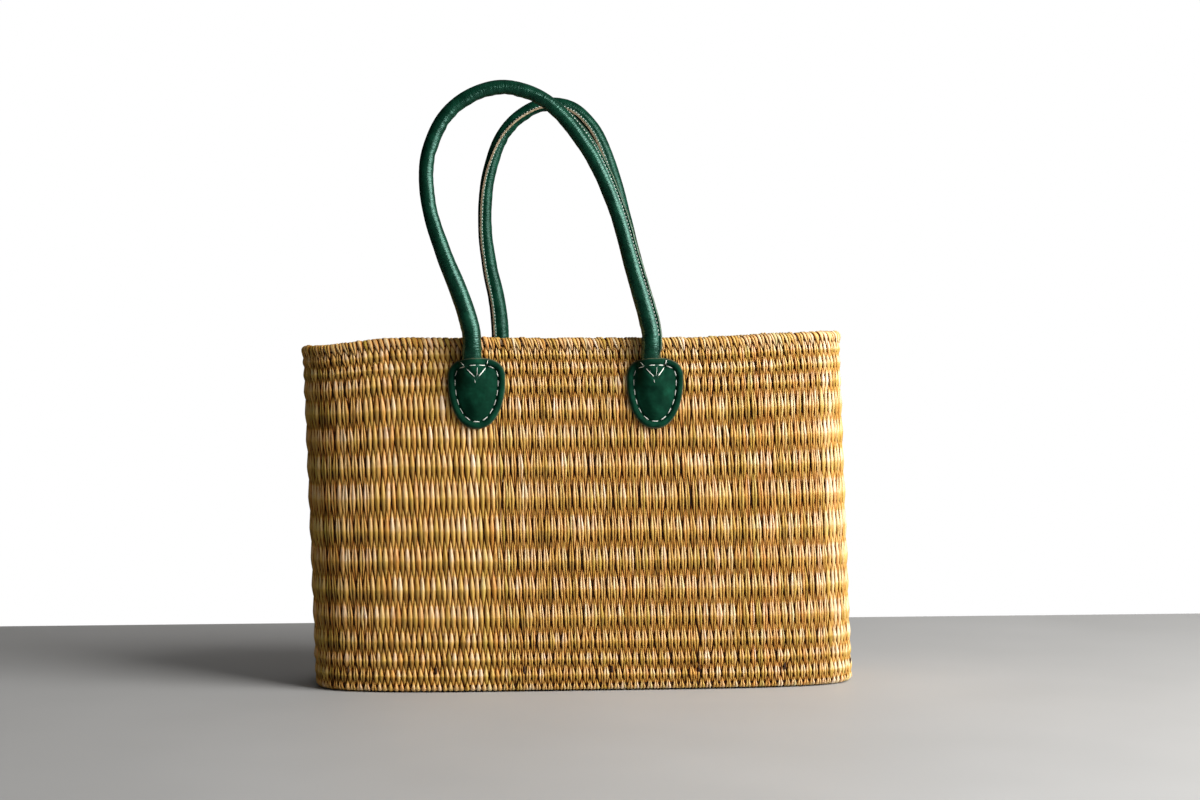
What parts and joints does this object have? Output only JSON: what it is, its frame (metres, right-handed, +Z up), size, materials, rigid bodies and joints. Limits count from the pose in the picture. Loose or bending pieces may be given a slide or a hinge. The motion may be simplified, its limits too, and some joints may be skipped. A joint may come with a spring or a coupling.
{
  "type": "woven tote bag",
  "caption": "Open woven rush tote with a rounded rectangular base, a turned rim and rolled leather handles that fold at the rim and are sewn on under leather tabs.",
  "frame": {"origin": "on the ground, under the middle of the whole bag's box", "axes": "+Z up, the front wall faces -Y, +X to the right seen from the front"},
  "size_m": [0.4546, 0.1818, 0.492],
  "materials": {
    "woven_rush": "dry woven rush strands, golden straw with olive and rust streaks, satin",
    "reed": "round split reed, matt",
    "green_leather": "dyed goat leather, deep green, semi-gloss with fine grain",
    "hemp_rope": "laid hemp rope, matt"
  },
  "bodies": {
    "basket": {"woven_wall": "woven_rush", "base_panel": "woven_rush", "turned_rim": "woven_rush", "base_hoop": "reed", "rim_hoop": "reed", "front_left_handle_end": "green_leather", "front_left_rope_end": "hemp_rope", "front_left_tab": "green_leather", "front_right_handle_end": "green_leather", "front_right_rope_end": "hemp_rope", "front_right_tab": "green_leather", "back_left_handle_end": "green_leather", "back_left_rope_end": "hemp_rope", "back_left_tab": "green_leather", "back_right_handle_end": "green_leather", "back_right_rope_end": "hemp_rope", "back_right_tab": "green_leather"},
    "front_handle": {"front_handle_sleeve": "green_leather", "front_handle_rope": "hemp_rope"},
    "back_handle": {"back_handle_sleeve": "green_leather", "back_handle_rope": "hemp_rope"}
  },
  "joints": [
    {"name": "front_handle_fold", "type": "hinge", "parent": "basket", "child": "front_handle", "pos_m": [-0.0195, -0.092, 0.2862], "axis": [1, 0, 0], "range_deg": [-22, 150]},
    {"name": "back_handle_fold", "type": "hinge", "parent": "basket", "child": "back_handle", "pos_m": [0.0065, 0.092, 0.2862], "axis": [-1, 0, 0], "range_deg": [-22, 150]}
  ]
}
